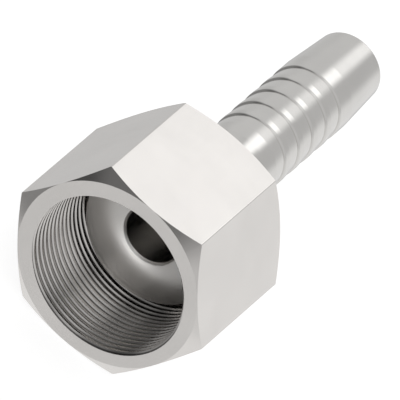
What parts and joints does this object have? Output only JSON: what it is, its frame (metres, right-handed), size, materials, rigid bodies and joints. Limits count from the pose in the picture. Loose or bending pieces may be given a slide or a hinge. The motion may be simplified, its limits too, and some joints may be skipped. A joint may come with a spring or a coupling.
{
  "type": "hose nipple with union nut",
  "caption": "Turned steel hose nipple with a barbed tail and a crowned sealing face, held by a loose hexagonal union nut.",
  "frame": {"origin": "on the fitting's axis, in the plane of the nut's mouth face", "axes": "+Y along the axis towards the tip of the hose tail, +Z square to the nut's upper flat, +X through a corner of the hexagon"},
  "size_m": [0.0474, 0.0952, 0.041],
  "materials": {
    "nipple_steel": "fine turned, bright satin",
    "nut_steel": "smooth satin"
  },
  "bodies": {
    "nipple": {"hose_nipple": "nipple_steel"},
    "nut": {"swivel_nut": "nut_steel"}
  },
  "joints": [
    {"name": "nut_spin", "type": "hinge", "parent": "nipple", "child": "nut", "pos_m": [0, 0, 0], "axis": [0, 1, 0], "continuous": true}
  ]
}
